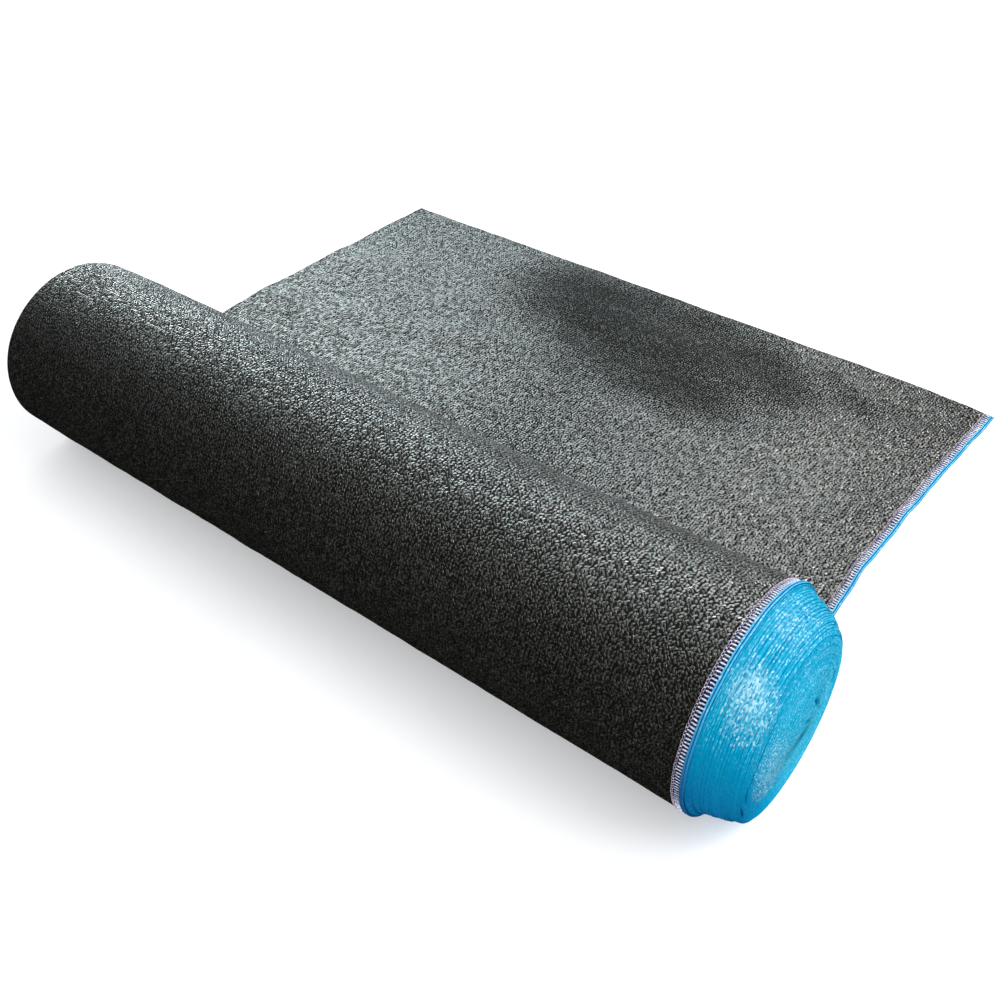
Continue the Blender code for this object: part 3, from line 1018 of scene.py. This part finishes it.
def seam_frames(settings, inset, above, jitter, seed):
    """Matrices along the seam: X outwards across it, Y along it, Z off the cloth."""
    random = np.random.RandomState(seed)
    frames = []
    y = float(between(CUT_END, 1.0)) - 0.003
    while y > 0.040:
        x = CLOTH_WIDTH + float(softly_between(SELVEDGE_EDGE, y, EDGE_ROUNDING)) + inset
        z = float(loose_height(np.array(x), np.array(y))) + settings.thickness + above
        frames.append(seam_frame((x, y, z), (0.0, 0.0, 1.0), random, jitter))
        y -= settings.stitch

    radius, back, middle = (float(v) for v in roll_measures(CLOTH_WIDTH - 0.006))
    angle = math.atan2(0.010 - middle, math.sqrt(radius ** 2 - (0.010 - middle) ** 2))
    last = math.tau + math.atan2(-middle, -FLAT_SPOT)
    r = radius + above - 0.0002
    while angle < last:
        normal = (0.0, math.cos(angle), math.sin(angle))
        place = (CLOTH_WIDTH + inset, back + r * normal[1], max(middle + r * normal[2], 0.0013))
        frames.append(seam_frame(place, normal, random, jitter))
        angle += settings.stitch / radius
    return frames


class SHADECLOTH_OT_edge_stitches(bpy.types.Operator):
    """Sew the pale threads across the seam of the black cloth and the selvedge"""

    bl_idname = "shade_cloth.edge_stitches"
    bl_label = "Edge Stitches"

    def execute(self, context):
        settings = context.scene.shade_cloth
        model = capsule("stitch", settings.tooth, 0.0021, 0.0014)
        frames = seam_frames(settings, -0.5 * settings.tooth + 0.0012, 0.0002, 0.24, 21)
        item = copies_along("edge_stitches", model, frames)
        smooth(item, 60.0)
        dress(item, thread("edge_thread", settings.thread, THREAD_SHADE))
        return {"FINISHED"}


class SHADECLOTH_OT_chain_stitches(bpy.types.Operator):
    """Sew the chain of small loops along the stitches' inner ends"""

    bl_idname = "shade_cloth.chain_stitches"
    bl_label = "Chain Stitches"

    def execute(self, context):
        settings = context.scene.shade_cloth
        model = link_loop("chain_loop", settings.stitch * 1.15, 0.0026, 0.00044)
        frames = seam_frames(settings, -settings.tooth - 0.0004, 0.0004, 0.35, 33)
        item = copies_along("chain_stitches", model, frames)
        smooth(item, 60.0)
        dress(item, thread("chain_thread", settings.chain, CHAIN_SHADE))
        return {"FINISHED"}


# Stage


def soft_light(name, heading, height, distance, size, power, colour, aim, in_gloss):
    """A soft light at a heading and a height, in degrees, from its aim: for the gloss alone or without it."""
    data = bpy.data.lights.new(name, "AREA")
    data.shape = "RECTANGLE"
    data.size, data.size_y = size
    data.energy = power
    data.color = colour
    item = link_item(name, data)
    turn, rise = math.radians(heading), math.radians(height)
    away = Vector((math.cos(turn) * math.cos(rise), math.sin(turn) * math.cos(rise), math.sin(rise)))
    item.location = Vector(aim) + away * distance
    item.rotation_euler = away.to_track_quat("Z", "Y").to_euler()
    item.visible_diffuse = not in_gloss
    item.visible_glossy = in_gloss


class SHADECLOTH_OT_studio(bpy.types.Operator):
    """Set up the pale floor, the soft lights and the camera"""

    bl_idname = "shade_cloth.studio"
    bl_label = "Studio"

    def execute(self, context):
        scene = context.scene
        bpy.ops.object.select_all(action="DESELECT")
        bpy.ops.mesh.primitive_plane_add(size=14.0, location=(0.0, 0.0, -0.0005))
        floor = bpy.context.object
        floor.name = "floor"
        floor.visible_glossy = False
        r = Recipe("pale_floor")
        tone = r.spread(r.noise(r.place(), 3.0), 0.3, 0.7, 0.80, 0.84)
        grey = r.node("ShaderNodeCombineColor", {"Red": tone, "Green": tone, "Blue": tone})
        r.feed(r.shader.inputs["Base Color"], grey.outputs["Color"])
        r.feed(r.shader.inputs["Roughness"], 0.9)
        r.feed(r.shader.inputs["Specular IOR Level"], 0.0)
        r.feed(r.shader.inputs["Emission Color"], (1.0, 1.0, 1.0, 1.0))
        r.feed(r.shader.inputs["Emission Strength"], 0.25)
        floor.data.materials.append(r.material)

        world = bpy.data.worlds.new("studio")
        world.use_nodes = True
        background = world.node_tree.nodes["Background"]
        background.inputs["Color"].default_value = (0.95, 0.97, 1.0, 1.0)
        background.inputs["Strength"].default_value = 1.1
        world.cycles_visibility.glossy = False
        scene.world = world
        for number, light in enumerate(GLOSS_LIGHTS):
            soft_light(f"window_{number + 1}", *light, in_gloss=True)
        soft_light("room", 25.0, 45.0, 3.4, (3.0, 3.0), 100.0, (1.0, 1.0, 1.0), MIDDLE, in_gloss=False)

        data = bpy.data.cameras.new("camera")
        data.lens = CAMERA_LENS
        data.sensor_width = 36.0
        camera = link_item("camera", data)
        camera.matrix_world = Matrix.Translation(CAMERA_PLACE) @ Matrix(CAMERA_TURN).to_4x4()
        scene.camera = camera
        scene.view_settings.view_transform = "Standard"
        return {"FINISHED"}


class SHADECLOTH_PT_panel(bpy.types.Panel):
    """The shade cloth's sizes, colours and pieces"""

    bl_label = "Shade Cloth"
    bl_idname = "SHADECLOTH_PT_panel"
    bl_space_type = "VIEW_3D"
    bl_region_type = "UI"
    bl_category = "Shade Cloth"

    def draw(self, context):
        settings = context.scene.shade_cloth
        column = self.layout.column()
        for name in settings.bl_rna.properties.keys():
            if name not in ("rna_type", "name"):
                column.prop(settings, name)
        for operator in OPERATORS:
            column.operator(operator.bl_idname)


OPERATORS = (
    SHADECLOTH_OT_cloth_sheet,
    SHADECLOTH_OT_wound_turns,
    SHADECLOTH_OT_selvedge_band,
    SHADECLOTH_OT_wound_selvedge,
    SHADECLOTH_OT_edge_stitches,
    SHADECLOTH_OT_chain_stitches,
    SHADECLOTH_OT_studio,
)
CLASSES = (ShadeClothSettings, *OPERATORS, SHADECLOTH_PT_panel)


def register():
    """Register the classes and the scene's settings."""
    for item in CLASSES:
        bpy.utils.register_class(item)
    bpy.types.Scene.shade_cloth = PointerProperty(type=ShadeClothSettings)


def unregister():
    """Take the settings and the classes out again."""
    del bpy.types.Scene.shade_cloth
    for item in reversed(CLASSES):
        bpy.utils.unregister_class(item)


def main():
    """Build every piece and the stage."""
    register()
    bpy.ops.shade_cloth.cloth_sheet()
    bpy.ops.shade_cloth.wound_turns()
    bpy.ops.shade_cloth.selvedge_band()
    bpy.ops.shade_cloth.wound_selvedge()
    bpy.ops.shade_cloth.edge_stitches()
    bpy.ops.shade_cloth.chain_stitches()
    bpy.ops.shade_cloth.studio()


if __name__ == "__main__":
    main()
